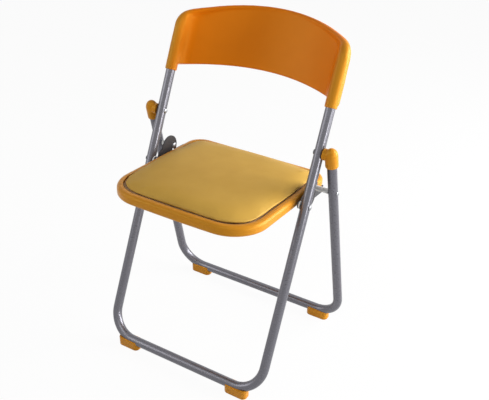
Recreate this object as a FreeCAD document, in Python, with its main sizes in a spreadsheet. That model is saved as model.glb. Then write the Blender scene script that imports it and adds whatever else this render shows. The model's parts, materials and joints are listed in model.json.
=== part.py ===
"""Folding chair: two bent tube frames, a moulded back, and a tray seat with a padded top.

Millimetres. X is the width, -Y the front and +Z up, with the origin on the floor under the
middle of the chair. The sitter's left is +X. A place on a front leg is measured along the leg
from the axis of the front floor bar, and a place on a rear leg from the rear floor bar.
"""
import FreeCAD
import Part
import os
import re

# Driving dimensions, then the places worked out from them
SIZES = {
    # Tube frames
    "tube_od": "22",
    "tube_wall": "1.2",
    "bend_radius": "65",
    "front_half": "210",
    "leg_gap": "7.4",
    "front_lean": "26",
    "rear_lean": "11.6",
    "foot_drop": "10",
    "pivot_along": "558.7",
    "front_tube_top": "768",
    "rear_tube_short": "6",
    # Fold: swing of the rear frame and of the seat, both from the open chair
    "rear_swing": "27",
    "seat_swing": "68.5",
    "seat_pivot_drop": "119.2",
    "stud_drop": "101.2",
    # Rivets, studs and their play
    "shank_r": "4",
    "shank_play": "0.1",
    "head_gap": "0.3",
    "head_thick": "2.4",
    "rivet_head_r": "6",
    "stud_head_r": "8",
    "pivot_head_r": "7",
    "sleeve_r": "6",
    "washer_r": "9",
    "slot_play": "0.8",
    "fit_play": "0.15",
    # Elbow caps on the rear legs
    "cap_r": "14.5",
    "cap_rise": "19",
    "cap_drop": "25.6",
    "arm_r": "13",
    "arm_gap": "0.5",
    # Feet
    "foot_long": "58",
    "foot_wide": "27",
    "foot_wrap": "3",
    "foot_corner": "11",
    "foot_edge": "2",
    "front_foot_in": "56",
    "rear_foot_in": "57.9",
    # Moulded back
    "sleeve_out_r": "14",
    "sleeve_low": "656",
    "side_margin": "0.6",
    "back_arc_r": "400",
    "back_end_depth": "12.4",
    "back_thick": "9",
    "back_skin": "4",
    "back_rim": "13",
    "back_rib": "3",
    "back_top": "849.2",
    "back_top_r": "464",
    "back_bottom": "703.3",
    "back_bottom_r": "684",
    "back_corner_r": "47",
    "back_blend": "40",
    "back_edge_r": "3",
    "sleeve_top_drop": "12",
    "sleeve_top_r": "4",
    "back_screw_along": "690",
    "screw_r": "2",
    "screw_head_r": "4.5",
    "screw_head_thick": "2.4",
    # Seat tray and its padded top
    "seat_tilt": "4.5",
    "seat_front": "208",
    "seat_rear": "158",
    "seat_bow_r": "3500",
    "front_corner": "85",
    "rear_corner": "42",
    "rim_top": "14",
    "tray_deep": "23.5",
    "rim_round": "9",
    "tray_edge": "6",
    "tray_wall": "4",
    "rim_wide": "14",
    "recess_deep": "9",
    "floor_thick": "3",
    "rib_thick": "3",
    "rib_deep": "10",
    "pad_gap": "1",
    "board_thick": "4",
    "pad_crown": "29",
    "pad_crown_r": "3500",
    "pad_edge": "8",
    "pad_tuck": "2",
    "pad_screw_in": "79",
    "pad_screw_front_in": "93",
    "pad_screw_rear_in": "102",
    # Side brackets of the seat
    "web_gap": "6.5",
    "spacer_thick": "3",
    "web_thick": "2.5",
    "ear_y": "53",
    "ear_z": "17",
    "ear_r": "28",
    "belly_y": "32",
    "belly_z": "-6",
    "belly_r": "28",
    "nose_r": "8.5",
    "flange_y0": "82",
    "flange_y1": "112",
    "flange_reach": "57.5",
    "tail_top": "4",
    "boss_r": "6",
    "boss_in": "43.5",
    "boss_y0": "89.5",
    "boss_y1": "104.5",
    "screw_bite": "8",
    # Worked out from the values above
    "tube_r": "=tube_od / 2",
    "bore_r": "=tube_r - tube_wall",
    "rear_half": "=front_half + tube_od + leg_gap",
    "bar_height": "=tube_r + foot_drop",
    "hole_r": "=shank_r + shank_play",
    "rear_pivot_along": "=pivot_along * cos(front_lean) / cos(rear_lean)",
    "seat_pivot_along": "=pivot_along - seat_pivot_drop",
    "stud_along": "=rear_pivot_along - stud_drop",
    "back_depth": "=back_arc_r - sqrt(back_arc_r ^ 2 - front_half ^ 2) + back_end_depth",
    "back_rib_pitch": "=(front_half - sleeve_out_r) * 0.296",
    "depth_front": "=min(seat_pivot_along * sin(front_lean) - seat_front * cos(seat_tilt); -foot_wide / 2)",
    "depth_rear": "=back_top * sin(front_lean) + (back_depth + back_thick / 2) * cos(front_lean)",
    "front_bar_y": "=-(depth_front + depth_rear) / 2",
    "rear_bar_y": "=front_bar_y + pivot_along * sin(front_lean) + rear_pivot_along * sin(rear_lean)",
    "seat_pivot_y": "=front_bar_y + seat_pivot_along * sin(front_lean)",
    "seat_pivot_z": "=bar_height + seat_pivot_along * cos(front_lean)",
    "front_inner": "=front_half - tube_r",
    "web_x1": "=front_inner - spacer_thick",
    "web_x0": "=web_x1 - web_thick",
    "seat_half": "=web_x0 - web_gap",
    "flange_x0": "=web_x0 - flange_reach",
    "boss_x": "=web_x0 - boss_in",
    "pad_screw_x": "=seat_half - pad_screw_in",
    "pad_screw_front": "=seat_front - pad_screw_front_in",
    "pad_screw_rear": "=seat_rear - pad_screw_rear_in",
    "rib_pitch_x": "=seat_half * 0.38",
    "rib_pitch_y": "=(seat_front + seat_rear) * 0.217",
    "front_foot_x": "=front_half - front_foot_in",
    "rear_foot_x": "=rear_half - rear_foot_in",
    "front_outer": "=front_half + tube_r",
    "rear_inner": "=rear_half - tube_r",
    "rear_outer": "=rear_half + tube_r",
    "back_half": "=front_half + sleeve_out_r + side_margin",
    "back_centre": "=back_depth - back_arc_r",
    "corner_x": "=back_half - back_corner_r",
    "top_centre": "=back_top - back_top_r",
    "corner_z": "=top_centre + sqrt((back_top_r - back_corner_r) ^ 2 - corner_x ^ 2)",
    "top_reach": "=corner_x * back_top_r / (back_top_r - back_corner_r)",
    "tray_low": "=rim_top - tray_deep",
    "recess_floor": "=rim_top - recess_deep",
    "tray_ceiling": "=recess_floor - floor_thick",
    "board_top": "=recess_floor + board_thick",
    "flange_low": "=web_thick - tray_low",
    "slot_r": "=shank_r + slot_play",
}

# The slot's middle line is the path of the rear leg's stud in the seat's own frame, so the
# stud fits it all the way while both frames turn in step
SLOT_STEPS = 8
for step in range(SLOT_STEPS + 1):
    share = f"{step} / {SLOT_STEPS}"
    leg_angle = f"(rear_lean - rear_swing * {share})"
    seat_angle = f"(seat_swing * {share} - seat_tilt)"
    back = f"(seat_pivot_drop * sin(front_lean) + stud_drop * sin{leg_angle})"
    rise = f"(seat_pivot_drop * cos(front_lean) - stud_drop * cos{leg_angle})"
    SIZES[f"slot_y_{step}"] = f"={back} * cos{seat_angle} + {rise} * sin{seat_angle}"
    SIZES[f"slot_z_{step}"] = f"={rise} * cos{seat_angle} - {back} * sin{seat_angle}"

doc = FreeCAD.newDocument("folding_chair")
sheet = doc.addObject("Spreadsheet::Sheet", "sizes")
for row, (name, text) in enumerate(SIZES.items(), start=1):
    sheet.set(f"A{row}", name)
    sheet.set(f"B{row}", text)
    sheet.setAlias(f"B{row}", name)
doc.recompute()

parts = []


def bound(text):
    """A formula with the sheet's name in front of each size that it uses."""
    return re.sub(r"[a-z]\w*", lambda word: "sizes." + word[0] if word[0] in SIZES else word[0], text)


def place(x="0", y="0", z="0", axis="0; 0; 1", angle="0"):
    """A placement formula: a point, then a turn about an axis."""
    return f"placement(vector({x}; {y}; {z}); rotation(vector({axis}); {angle}))"


FRONT = place(y="front_bar_y", z="bar_height", axis="1; 0; 0", angle="-front_lean")
REAR = place(y="rear_bar_y", z="bar_height", axis="1; 0; 0", angle="rear_lean")
SEAT = place(y="seat_pivot_y", z="seat_pivot_z", axis="1; 0; 0", angle="-seat_tilt")
OUTWARD = "90"
INWARD = "-90"


def primitive(kind, name, where, **sizes):
    """A Part primitive whose sizes and place follow the sheet."""
    item = doc.addObject("Part::" + kind, name)
    for key, text in sizes.items():
        item.setExpression(key, bound(text))
    item.setExpression("Placement", bound(where))
    return item


def box(name, x0, x1, y0, y1, z0, z1):
    """A box between two corners."""
    spans = {"Length": f"({x1}) - ({x0})", "Width": f"({y1}) - ({y0})", "Height": f"({z1}) - ({z0})"}
    return primitive("Box", name, place(x0, y0, z0), **spans)


def rod_x(name, radius, x0, x1, y="0", z="0"):
    """A cylinder along X."""
    where = place(x0, y, z, "0; 1; 0", "90")
    return primitive("Cylinder", name, where, Radius=radius, Height=f"({x1}) - ({x0})")


def rod_y(name, radius, y0, y1, x="0", z="0"):
    """A cylinder along Y."""
    where = place(x, y0, z, "1; 0; 0", "-90")
    return primitive("Cylinder", name, where, Radius=radius, Height=f"({y1}) - ({y0})")


def rod_z(name, radius, z0, z1, x="0", y="0"):
    """A cylinder along Z."""
    return primitive("Cylinder", name, place(x, y, z0), Radius=radius, Height=f"({z1}) - ({z0})")


def rivet_head(name, radius, x, z, turn):
    """A low rivet head on X, wide at x and narrower away from it; OUTWARD or INWARD is its turn."""
    where = place(x, "0", z, "0; 1; 0", turn)
    return primitive("Cone", name, where, Radius1=radius, Radius2=f"({radius}) * 0.7", Height="head_thick")


def fuse(name, *items):
    """One solid made of several."""
    item = doc.addObject("Part::MultiFuse", name)
    item.Shapes = list(items)
    item.Refine = True
    return item


def common(name, *items):
    """What several solids share."""
    item = doc.addObject("Part::MultiCommon", name)
    item.Shapes = list(items)
    return item


def cut(name, base, *tools):
    """A solid less one or more others."""
    item = doc.addObject("Part::Cut", name)
    item.Base = base
    item.Tool = tools[0] if len(tools) == 1 else fuse(name + "_tools", *tools)
    item.Refine = True
    return item


def keep(item, label, frame):
    """Name a finished piece and put it in its place."""
    item.Label = label
    item.setExpression("Placement", bound(frame))
    parts.append(item)
    return item


def keep_pair(item, name, frame):
    """Keep a left-hand piece and its mirror image on the right."""
    keep(item, name + "_left", frame)
    twin = doc.addObject("Part::Mirroring", name + "_twin")
    twin.Source = item
    twin.Normal = FreeCAD.Vector(1, 0, 0)
    twin.Label = name + "_right"
    parts.append(twin)


def size(name):
    """A size read back from the sheet."""
    return float(sheet.get(name))


def upright_front(edge):
    """True for a standing edge at the front end of a slab."""
    spans = edge.BoundBox
    return spans.XLength < 0.01 and spans.YLength < 0.01 and spans.Center.y < 0


def upright_rear(edge):
    """True for a standing edge at the rear end of a slab."""
    spans = edge.BoundBox
    return spans.XLength < 0.01 and spans.YLength < 0.01 and spans.Center.y > 0


def level_at(height):
    """A test for edges that lie at one height."""
    return lambda edge: abs(edge.BoundBox.ZMin - height) < 0.01 and edge.BoundBox.ZLength < 0.01


def round_edges(body, *rounds):
    """Round sets of a body's edges, each given by a radius and a test of an edge."""
    for number, (radius, chosen) in enumerate(rounds):
        doc.recompute()
        tip = body.Group[-1]
        edges = [f"Edge{count}" for count, edge in enumerate(tip.Shape.Edges, start=1) if chosen(edge)]
        fillet = body.newObject("PartDesign::Fillet", f"{body.Name}_round_{number}")
        fillet.Base = (tip, edges)
        fillet.setExpression("Radius", bound(radius))
        body.Tip = fillet
    doc.recompute()
    return body


def rounded(name, base, *rounds):
    """A body made from a solid by rounding sets of its edges."""
    body = doc.addObject("PartDesign::Body", name)
    body.BaseFeature = base
    return round_edges(body, *rounds)


# Bent tube frames
def u_shape(name, half, top, radius):
    """A floor bar, two bends and two legs, in the frame's own upright plane."""
    reach = f"({half}) - bend_radius"
    bar = rod_x(name + "_bar", radius, f"-({reach})", reach)
    pieces = [bar]
    for side, sign, turn in (("left", "", "-90"), ("right", "-", "180")):
        spin = place(f"{sign}({reach})", "0", "bend_radius", "1; 0; 0", "90")
        bend = primitive("Torus", f"{name}_bend_{side}", spin + " * " + place(angle=turn),
                         Radius1="bend_radius", Radius2=radius, Angle3="90")
        leg = rod_z(f"{name}_leg_{side}", radius, "bend_radius", top, f"{sign}({half})")
        pieces += [bend, leg]
    return fuse(name, *pieces)


def tube_frame(name, half, top, holes):
    """A hollow bent frame with cross holes through both legs."""
    outer = u_shape(name + "_outer", half, top, "tube_r")
    inner = u_shape(name + "_inner", half, top, "bore_r")
    reach = f"{half} + tube_od"
    drills = [rod_x(f"{name}_hole_{number}", "hole_r", f"-({reach})", reach, z=along)
              for number, along in enumerate(holes)]
    return cut(name + "_drilled", cut(name + "_hollow", outer, inner), *drills)


front_tube = tube_frame("front_frame", "front_half", "front_tube_top", ["pivot_along", "seat_pivot_along"])
back_screw_drill = fuse(
    "back_screw_drill",
    rod_y("back_screw_hole_left", "screw_r + fit_play", "0", "tube_od", "front_half", "back_screw_along"),
    rod_y("back_screw_hole_right", "screw_r + fit_play", "0", "tube_od", "-front_half", "back_screw_along"),
)
keep(cut("front_frame_cut", front_tube, back_screw_drill), "front_frame_tube", FRONT)

rear_top = "rear_pivot_along - rear_tube_short"
rear_tube = tube_frame("rear_frame", "rear_half", rear_top, ["stud_along"])
keep(rear_tube, "rear_frame_tube", REAR)


# Elbow caps: a sleeve over each rear leg, a domed top and an arm that reaches the front leg
cap_body = fuse(
    "cap_body",
    rod_z("cap_sleeve", "cap_r", "rear_pivot_along - cap_drop", "rear_pivot_along", "rear_half"),
    primitive("Ellipsoid", "cap_dome", place("rear_half", "0", "rear_pivot_along"),
              Radius1="cap_rise", Radius2="cap_r", Radius3="cap_r"),
    rod_x("cap_arm", "arm_r", "front_outer + arm_gap", "rear_half", z="rear_pivot_along"),
)
cap_bore = rod_z("cap_bore", "tube_r + fit_play", "rear_pivot_along - cap_drop - tube_r",
                 f"{rear_top} + fit_play", "rear_half")
cap_hole = rod_x("cap_hole", "hole_r", "front_outer", "rear_half + shank_play", z="rear_pivot_along")
keep_pair(cut("cap_cut", cap_body, cap_bore, cap_hole), "elbow_cap", REAR)

# Fold rivets: fixed in the caps, running in the front legs
fold_head_x = "front_inner - head_gap"
fold_rivet = fuse(
    "fold_rivet",
    rivet_head("fold_head", "rivet_head_r", fold_head_x, "rear_pivot_along", INWARD),
    rod_x("fold_shank", "shank_r", fold_head_x, "rear_half", z="rear_pivot_along"),
)
keep_pair(fold_rivet, "fold_rivet", REAR)

# Seat pivots: rivets through the front legs that carry the seat brackets
pivot_head_x = "web_x0 - head_gap"
seat_pivot = fuse(
    "seat_pivot",
    rivet_head("pivot_head_in", "pivot_head_r", pivot_head_x, "seat_pivot_along", INWARD),
    rod_x("pivot_shank", "shank_r", pivot_head_x, "front_outer", z="seat_pivot_along"),
    rivet_head("pivot_head_out", "rivet_head_r", "front_outer", "seat_pivot_along", OUTWARD),
)
keep_pair(seat_pivot, "seat_pivot", FRONT)
pivot_spacer = cut(
    "pivot_spacer",
    rod_x("spacer_disc", "washer_r", "web_x1 + head_gap", "front_inner", z="seat_pivot_along"),
    rod_x("spacer_hole", "hole_r", "web_x0", "front_half", z="seat_pivot_along"),
)
keep_pair(pivot_spacer, "pivot_spacer", FRONT)

# Slide studs: rivets through the rear legs, each with a sleeve, that run in the bracket slots
slide_stud = fuse(
    "slide_stud",
    rivet_head("stud_head_in", "stud_head_r", pivot_head_x, "stud_along", INWARD),
    rod_x("stud_shank", "shank_r", pivot_head_x, "rear_outer", z="stud_along"),
    rivet_head("stud_head_out", "rivet_head_r", "rear_outer", "stud_along", OUTWARD),
)
keep_pair(slide_stud, "slide_stud", REAR)
stud_sleeve = cut(
    "stud_sleeve",
    rod_x("sleeve_outside", "sleeve_r", "web_x1 + head_gap", "rear_inner", z="stud_along"),
    rod_x("sleeve_hole", "hole_r", "web_x0", "rear_half", z="stud_along"),
)
keep_pair(stud_sleeve, "stud_sleeve", REAR)


# Feet: saddles under the ends of the floor bars, hollowed by the run of the tube
def foot(name, x, y, half, top, frame):
    """A rounded block with a flat sole, less the bar and the start of the bend above it."""
    shaped = doc.addObject("PartDesign::Body", name + "_shaped")
    block = shaped.newObject("PartDesign::AdditiveBox", name + "_block")
    block.setExpression("Length", bound("foot_long"))
    block.setExpression("Width", bound("foot_wide"))
    block.setExpression("Height", bound("bar_height + foot_wrap"))
    block.setExpression("Placement", bound(place(f"{x} - foot_long / 2", f"{y} - foot_wide / 2")))
    round_edges(
        shaped,
        ("foot_corner", lambda edge: edge.BoundBox.XLength < 0.01 and edge.BoundBox.YLength < 0.01),
        ("foot_edge", level_at(size("bar_height") + size("foot_wrap"))),
        ("foot_edge", level_at(0)),
    )
    groove = u_shape(name + "_groove", half, top, "tube_r + fit_play")
    groove.setExpression("Placement", bound(frame))
    keep_pair(cut(name + "_cut", shaped, groove), name, place())


foot("front_foot", "front_foot_x", "front_bar_y", "front_half", "pivot_along", FRONT)
foot("rear_foot", "rear_foot_x", "rear_bar_y", "rear_half", "stud_along", REAR)


# Moulded back: a curved panel between two sleeves, with a ribbed hollow behind
def back_outline(name, inset, low):
    """The back's outline as a deep block: an arched top, round corners and straight sides."""
    side = f"back_half - ({inset})"
    arch = common(
        name + "_arch",
        rod_y(name + "_arch_disc", f"back_top_r - ({inset})", "-tube_od * 2", "back_depth * 2",
              z="top_centre"),
        box(name + "_arch_limit", "-top_reach", "top_reach", "-tube_od * 2", "back_depth * 2",
            low, "back_top"),
    )
    corners = [rod_y(f"{name}_corner_{side_name}", f"back_corner_r - ({inset})", "-tube_od * 2",
                     "back_depth * 2", x, "corner_z")
               for side_name, x in (("left", "corner_x"), ("right", "-corner_x"))]
    sides = box(name + "_sides", f"-({side})", side, "-tube_od * 2", "back_depth * 2", low, "corner_z")
    return fuse(name, arch, *corners, sides)


def back_shell(name, inner, outer):
    """A curved wall between two radii about the back's upright centre line."""
    return cut(
        name,
        rod_z(name + "_outside", outer, "sleeve_low", "back_top + tube_od", y="back_centre"),
        rod_z(name + "_inside", inner, "sleeve_low - tube_od", "back_top + tube_od * 2", y="back_centre"),
    )


back_front_r = "back_arc_r - back_thick / 2"
back_rear_r = "back_arc_r + back_thick / 2"
bottom_centre = "back_bottom - back_bottom_r"
back_high = "back_top + tube_od"
sides = (("left", "front_half"), ("right", "-front_half"))
wall = common(
    "back_wall",
    back_shell("panel_wall", back_front_r, back_rear_r),
    box("wall_limit", "-back_half", "back_half", "-tube_od", "back_depth * 2", "sleeve_low", back_high),
)
sleeve_rods = fuse("sleeve_rods", *[rod_z(f"sleeve_rod_{side}", "sleeve_out_r", "sleeve_low", back_high, x)
                                    for side, x in sides])
blank = fuse("back_blank", wall, sleeve_rods)
doc.recompute()


def inner_seam(edge):
    """True for the standing edges where the panel's front meets a sleeve."""
    spans = edge.BoundBox
    beside = size("front_half") - size("sleeve_out_r") < abs(spans.Center.x) < size("front_half")
    return beside and spans.XLength < 0.01 and 0 < spans.Center.y < size("sleeve_out_r")


def top_edge(edge):
    """True for the long edges of the panel's top and round corners, in front and behind."""
    return edge.BoundBox.ZMin > size("corner_z") - 0.01 and edge.Length > size("back_thick") * 2


def shoulder_edge(edge):
    """True for the front edge round the top of a sleeve."""
    spans = edge.BoundBox
    above = spans.ZMin > size("corner_z") - size("sleeve_top_drop") - 0.01
    return above and spans.Center.y < 0 and edge.Length > size("sleeve_out_r") * 2


blended = rounded("back_blended", blank, ("back_blend", inner_seam))
panel = rounded(
    "panel",
    cut("panel_sharp", common("panel_full", wall, back_outline("back_whole", "0", "sleeve_low")),
        rod_y("panel_under", "back_bottom_r", "-tube_od * 3", "back_depth * 3", z=bottom_centre)),
    ("back_edge_r", top_edge),
)
lower_outline = back_outline("lower_outline", "0", "sleeve_low - tube_od")
lower_outline.setExpression("Placement", bound(place(z="-sleeve_top_drop")))
sleeved = common("sleeved", blended, lower_outline)
doc.recompute()
shoulders = rounded("shoulders", sleeved, ("sleeve_top_r", shoulder_edge))
shoulders_trimmed = cut(
    "shoulders_trimmed", shoulders,
    rod_y("blend_under", "back_bottom_r", "-tube_od * 3", "back_depth * 3", z=bottom_centre),
)
sleeves = common("sleeves", sleeve_rods, shoulders)
hollow = cut(
    "hollow",
    common("hollow_full",
           back_shell("hollow_wall", f"{back_front_r} + back_skin", "back_arc_r + back_thick"),
           back_outline("hollow_outline", "back_rim", "sleeve_low")),
    rod_y("hollow_under", "back_bottom_r + back_rim", "-tube_od * 3", "back_depth * 3", z=bottom_centre),
    *[rod_z(f"hollow_side_{side}", "sleeve_out_r + back_rim", "sleeve_low", back_high, x)
      for side, x in sides],
    *[box(f"hollow_rib_{number}", f"back_rib_pitch * ({number}) - back_rib / 2",
          f"back_rib_pitch * ({number}) + back_rib / 2", "0", "back_depth * 2", "sleeve_low", back_high)
      for number in (-2, -1, 0, 1, 2)],
)
back_bores = [rod_z(f"back_bore_{side}", "tube_r + fit_play", "sleeve_low - tube_od",
                    "front_tube_top + fit_play", x) for side, x in sides]
screw_seat_y = "sleeve_out_r - screw_head_thick"
screw_seats = [rod_y(f"back_seat_{side}", "screw_head_r + fit_play", screw_seat_y, "sleeve_out_r * 3",
                     x, "back_screw_along") for side, x in sides]
screw_holes = [rod_y(f"back_hole_{side}", "screw_r + fit_play", "0", "sleeve_out_r * 2",
                     x, "back_screw_along") for side, x in sides]
backrest = cut("backrest", fuse("back_solid", panel, shoulders_trimmed, sleeves), hollow, *back_bores,
               *screw_seats, *screw_holes)
keep(backrest, "backrest", FRONT)

back_screw = fuse(
    "back_screw",
    rod_y("back_screw_head", "screw_head_r", screw_seat_y, "sleeve_out_r", "front_half", "back_screw_along"),
    rod_y("back_screw_shank", "screw_r", "bore_r - screw_r", screw_seat_y, "front_half", "back_screw_along"),
)
keep_pair(back_screw, "backrest_screw", FRONT)


# Seat tray: a rimmed moulding with a recess for the pad above and ribs and posts below
def seat_slab(name, inset, low, high, *extra):
    """A slab with the seat's outline, drawn in by an inset, with rounded corners."""
    sides = f"seat_half - ({inset})"
    block = common(
        name + "_block",
        box(name + "_box", f"-({sides})", sides, f"-seat_front + ({inset})", f"seat_rear - ({inset})",
            low, high),
        rod_z(name + "_bow", f"seat_bow_r - ({inset})", f"({low}) - 1", f"({high}) + 1",
              y="seat_bow_r - seat_front"),
        *extra,
    )
    doc.recompute()
    return block


def corner_rounds(inset):
    """The roundings of a seat slab's four standing edges."""
    return [(f"front_corner - ({inset})", upright_front), (f"rear_corner - ({inset})", upright_rear)]


tray_shape = rounded(
    "tray_shape", seat_slab("tray_slab", "0", "tray_low", "rim_top"), *corner_rounds("0"),
    ("rim_round", level_at(size("rim_top"))), ("tray_edge", level_at(size("tray_low"))),
)
tray_hollow = rounded("tray_hollow", seat_slab("under_slab", "tray_wall", "tray_low - 1", "tray_ceiling"),
                      *corner_rounds("tray_wall"))
tray_recess = rounded("tray_recess", seat_slab("recess_slab", "rim_wide", "recess_floor", "rim_top + 1"),
                      *corner_rounds("rim_wide"))
rib_low = "tray_ceiling - rib_deep"
rib_high = "tray_ceiling + floor_thick / 2"
rib_bars = [box(f"rib_x_{number}", "-seat_half", "seat_half", f"rib_pitch_y * {number} - rib_thick / 2",
                f"rib_pitch_y * {number} + rib_thick / 2", rib_low, rib_high)
            for number in (-2, -1, 1)]
rib_bars += [box(f"rib_y_{number}", f"rib_pitch_x * {number} - rib_thick / 2",
                 f"rib_pitch_x * {number} + rib_thick / 2", "-seat_front", "seat_rear", rib_low, rib_high)
             for number in (-2, -1, 0, 1, 2)]
rib_limit = rounded("rib_limit", seat_slab("rib_slab", "tray_wall / 2", "tray_low", "rim_top"),
                    *corner_rounds("tray_wall / 2"))
ribs = common("ribs", fuse("rib_grid", *rib_bars), rib_limit)
posts = [rod_z(f"post_{side}_{end}", "boss_r", "-flange_low + web_thick",
               "tray_ceiling + floor_thick / 2", x, y)
         for side, x in (("left", "boss_x"), ("right", "-boss_x"))
         for end, y in (("front", "boss_y0"), ("rear", "boss_y1"))]
post_holes = [rod_z(f"post_hole_{side}_{end}", "screw_r + fit_play", "-flange_low",
                    "-flange_low + web_thick + screw_bite + 1", x, y)
              for side, x in (("left", "boss_x"), ("right", "-boss_x"))
              for end, y in (("front", "boss_y0"), ("rear", "boss_y1"))]
pad_screw_places = [(side + "_" + end, x, y)
                    for side, x in (("left", "pad_screw_x"), ("right", "-pad_screw_x"))
                    for end, y in (("front", "-pad_screw_front"), ("rear", "pad_screw_rear"))]
floor_holes = [rod_z(f"floor_hole_{name}", "screw_r + fit_play", "tray_low", "recess_floor + 1", x, y)
               for name, x, y in pad_screw_places]
tray_open = cut("tray_open", tray_shape, tray_hollow, tray_recess)
seat_tray = cut("seat_tray", fuse("tray_ribbed", tray_open, ribs, *posts), *post_holes, *floor_holes)
keep(seat_tray, "seat_tray", SEAT)

# Pad: a board with a crowned, tucked cushion on it
pad_inset = "rim_wide + pad_gap"
board_shape = rounded("board_shape", seat_slab("board_slab", pad_inset, "recess_floor", "board_top"),
                      *corner_rounds(pad_inset))
board_holes = [rod_z(f"board_hole_{name}", "screw_r + fit_play", "recess_floor - 1", "board_top - 0.6", x, y)
               for name, x, y in pad_screw_places]
keep(cut("pad_board", board_shape, *board_holes), "pad_board", SEAT)

crown_y = "(seat_rear - seat_front) / 2"
crown_place = place("0", crown_y, "pad_crown - pad_crown_r", "0; 1; 0", "90")
crown = primitive("Sphere", "pad_crown_ball", crown_place, Radius="pad_crown_r")
pad_shape = rounded(
    "pad_shape", seat_slab("pad_slab", pad_inset, "board_top", "pad_crown + 1", crown),
    *corner_rounds(pad_inset),
    ("pad_edge", lambda edge: edge.BoundBox.ZMin > size("board_top") + 0.5),
    ("pad_tuck", level_at(size("board_top"))),
)
keep(pad_shape, "seat_pad", SEAT)

for name, x, y in pad_screw_places:
    pad_screw = fuse(
        "pad_screw_" + name,
        rod_z(f"pad_screw_head_{name}", "screw_head_r", "tray_ceiling - screw_head_thick",
              "tray_ceiling", x, y),
        rod_z(f"pad_screw_shank_{name}", "screw_r", "tray_ceiling", "board_top - 1", x, y),
    )
    keep(pad_screw, "pad_screw_" + name, SEAT)


# Side brackets: a web with the pivot hole and the curved slot, and a flange under the posts
def web_disc(name, radius, y, z):
    """A round part of the bracket's web."""
    return rod_x("web_" + name, radius, "web_x0", "web_x1", y, z)


web = fuse(
    "web",
    web_disc("nose", "nose_r", "0", "0"),
    web_disc("belly", "belly_r", "belly_y", "belly_z"),
    web_disc("waist", "ear_r", "(ear_y + belly_y) / 2 + 5", "(ear_z + belly_z) / 2 - 4"),
    web_disc("ear", "ear_r", "ear_y", "ear_z"),
    box("web_tail", "web_x0", "web_x1", "ear_y", "flange_y1", "-flange_low", "tail_top"),
    box("flange", "flange_x0", "web_x1", "flange_y0", "flange_y1", "-flange_low", "-flange_low + web_thick"),
)
slot_pieces = []
for step in range(SLOT_STEPS + 1):
    slot_pieces.append(rod_x(f"slot_end_{step}", "slot_r", "web_x0 - 1", "web_x1 + 1",
                             f"slot_y_{step}", f"slot_z_{step}"))
for step in range(SLOT_STEPS):
    run = f"(slot_y_{step + 1} - slot_y_{step})"
    drop = f"(slot_z_{step + 1} - slot_z_{step})"
    heading = f"atan2({drop}; {run})"
    where = place("web_x0 - 1", f"slot_y_{step}", f"slot_z_{step}", "1; 0; 0", heading)
    slot_pieces.append(primitive("Box", f"slot_run_{step}", where + " * " + place(z="-slot_r"),
                                 Length="web_thick + 2", Width=f"sqrt({run} ^ 2 + {drop} ^ 2)",
                                 Height="slot_r * 2"))
slot = fuse("slot", *slot_pieces)
pivot_hole = rod_x("web_pivot_hole", "hole_r", "web_x0 - 1", "web_x1 + 1")
flange_holes = [rod_z(f"flange_hole_{end}", "screw_r + fit_play", "-flange_low - 1",
                      "-flange_low + web_thick + 1", "boss_x", y)
                for end, y in (("front", "boss_y0"), ("rear", "boss_y1"))]
keep_pair(cut("bracket_cut", web, slot, pivot_hole, *flange_holes), "seat_bracket", SEAT)

for end, y in (("front", "boss_y0"), ("rear", "boss_y1")):
    bracket_screw = fuse(
        "bracket_screw_" + end,
        rod_z(f"bracket_screw_head_{end}", "screw_head_r", "-flange_low - screw_head_thick", "-flange_low",
              "boss_x", y),
        rod_z(f"bracket_screw_shank_{end}", "screw_r", "-flange_low", "-flange_low + web_thick + screw_bite",
              "boss_x", y),
    )
    keep_pair(bracket_screw, "bracket_screw_" + end, SEAT)

# Check the whole document, then write one file per piece
doc.recompute()
for item in doc.Objects:
    if "Invalid" in item.State or "Error" in item.State:
        raise RuntimeError(f"{item.Name} did not build: {item.State}")
os.makedirs("parts", exist_ok=True)
for item in parts:
    shape = item.Shape
    if shape.isNull() or not shape.isValid() or len(shape.Solids) != 1:
        raise RuntimeError(f"{item.Label} is not one sound solid")
    shape.Solids[0].exportStep(f"parts/{item.Label}.step")
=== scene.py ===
# %% [markdown]
# # A folding chair, dressed
# The solids of the chair come from a CAD model that is loaded as a fixed frame. This lesson gives
# them their finishes, rebuilds the small fasteners, the edge of the back and the soft seat pad, and
# lights the chair as a studio would. Lengths are metres, X is the width, -Y the front and +Z up.

# %% Load the chair
import json
import math

import bmesh
import bpy
from mathutils import Euler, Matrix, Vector


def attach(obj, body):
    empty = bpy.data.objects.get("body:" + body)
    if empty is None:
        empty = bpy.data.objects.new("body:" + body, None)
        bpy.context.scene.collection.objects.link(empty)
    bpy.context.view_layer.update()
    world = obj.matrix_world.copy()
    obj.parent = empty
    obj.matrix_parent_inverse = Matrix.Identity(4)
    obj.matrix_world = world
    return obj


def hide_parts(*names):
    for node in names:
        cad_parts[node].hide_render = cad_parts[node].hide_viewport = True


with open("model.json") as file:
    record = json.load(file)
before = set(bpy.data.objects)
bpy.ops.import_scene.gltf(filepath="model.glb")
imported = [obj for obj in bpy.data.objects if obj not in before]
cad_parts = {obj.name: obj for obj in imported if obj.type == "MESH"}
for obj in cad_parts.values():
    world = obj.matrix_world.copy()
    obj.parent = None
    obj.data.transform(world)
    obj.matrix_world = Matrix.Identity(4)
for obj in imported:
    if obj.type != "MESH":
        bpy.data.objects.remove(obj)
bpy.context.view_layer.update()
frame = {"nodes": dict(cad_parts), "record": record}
nodes = frame["nodes"]
scene = bpy.context.scene

# %% [markdown]
# ## Directions of the chair
# The front legs lean back and the seat slopes a little to the rear. Screws, the back and the padding
# follow those slopes, so the directions are worked out once and used by name.

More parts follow.
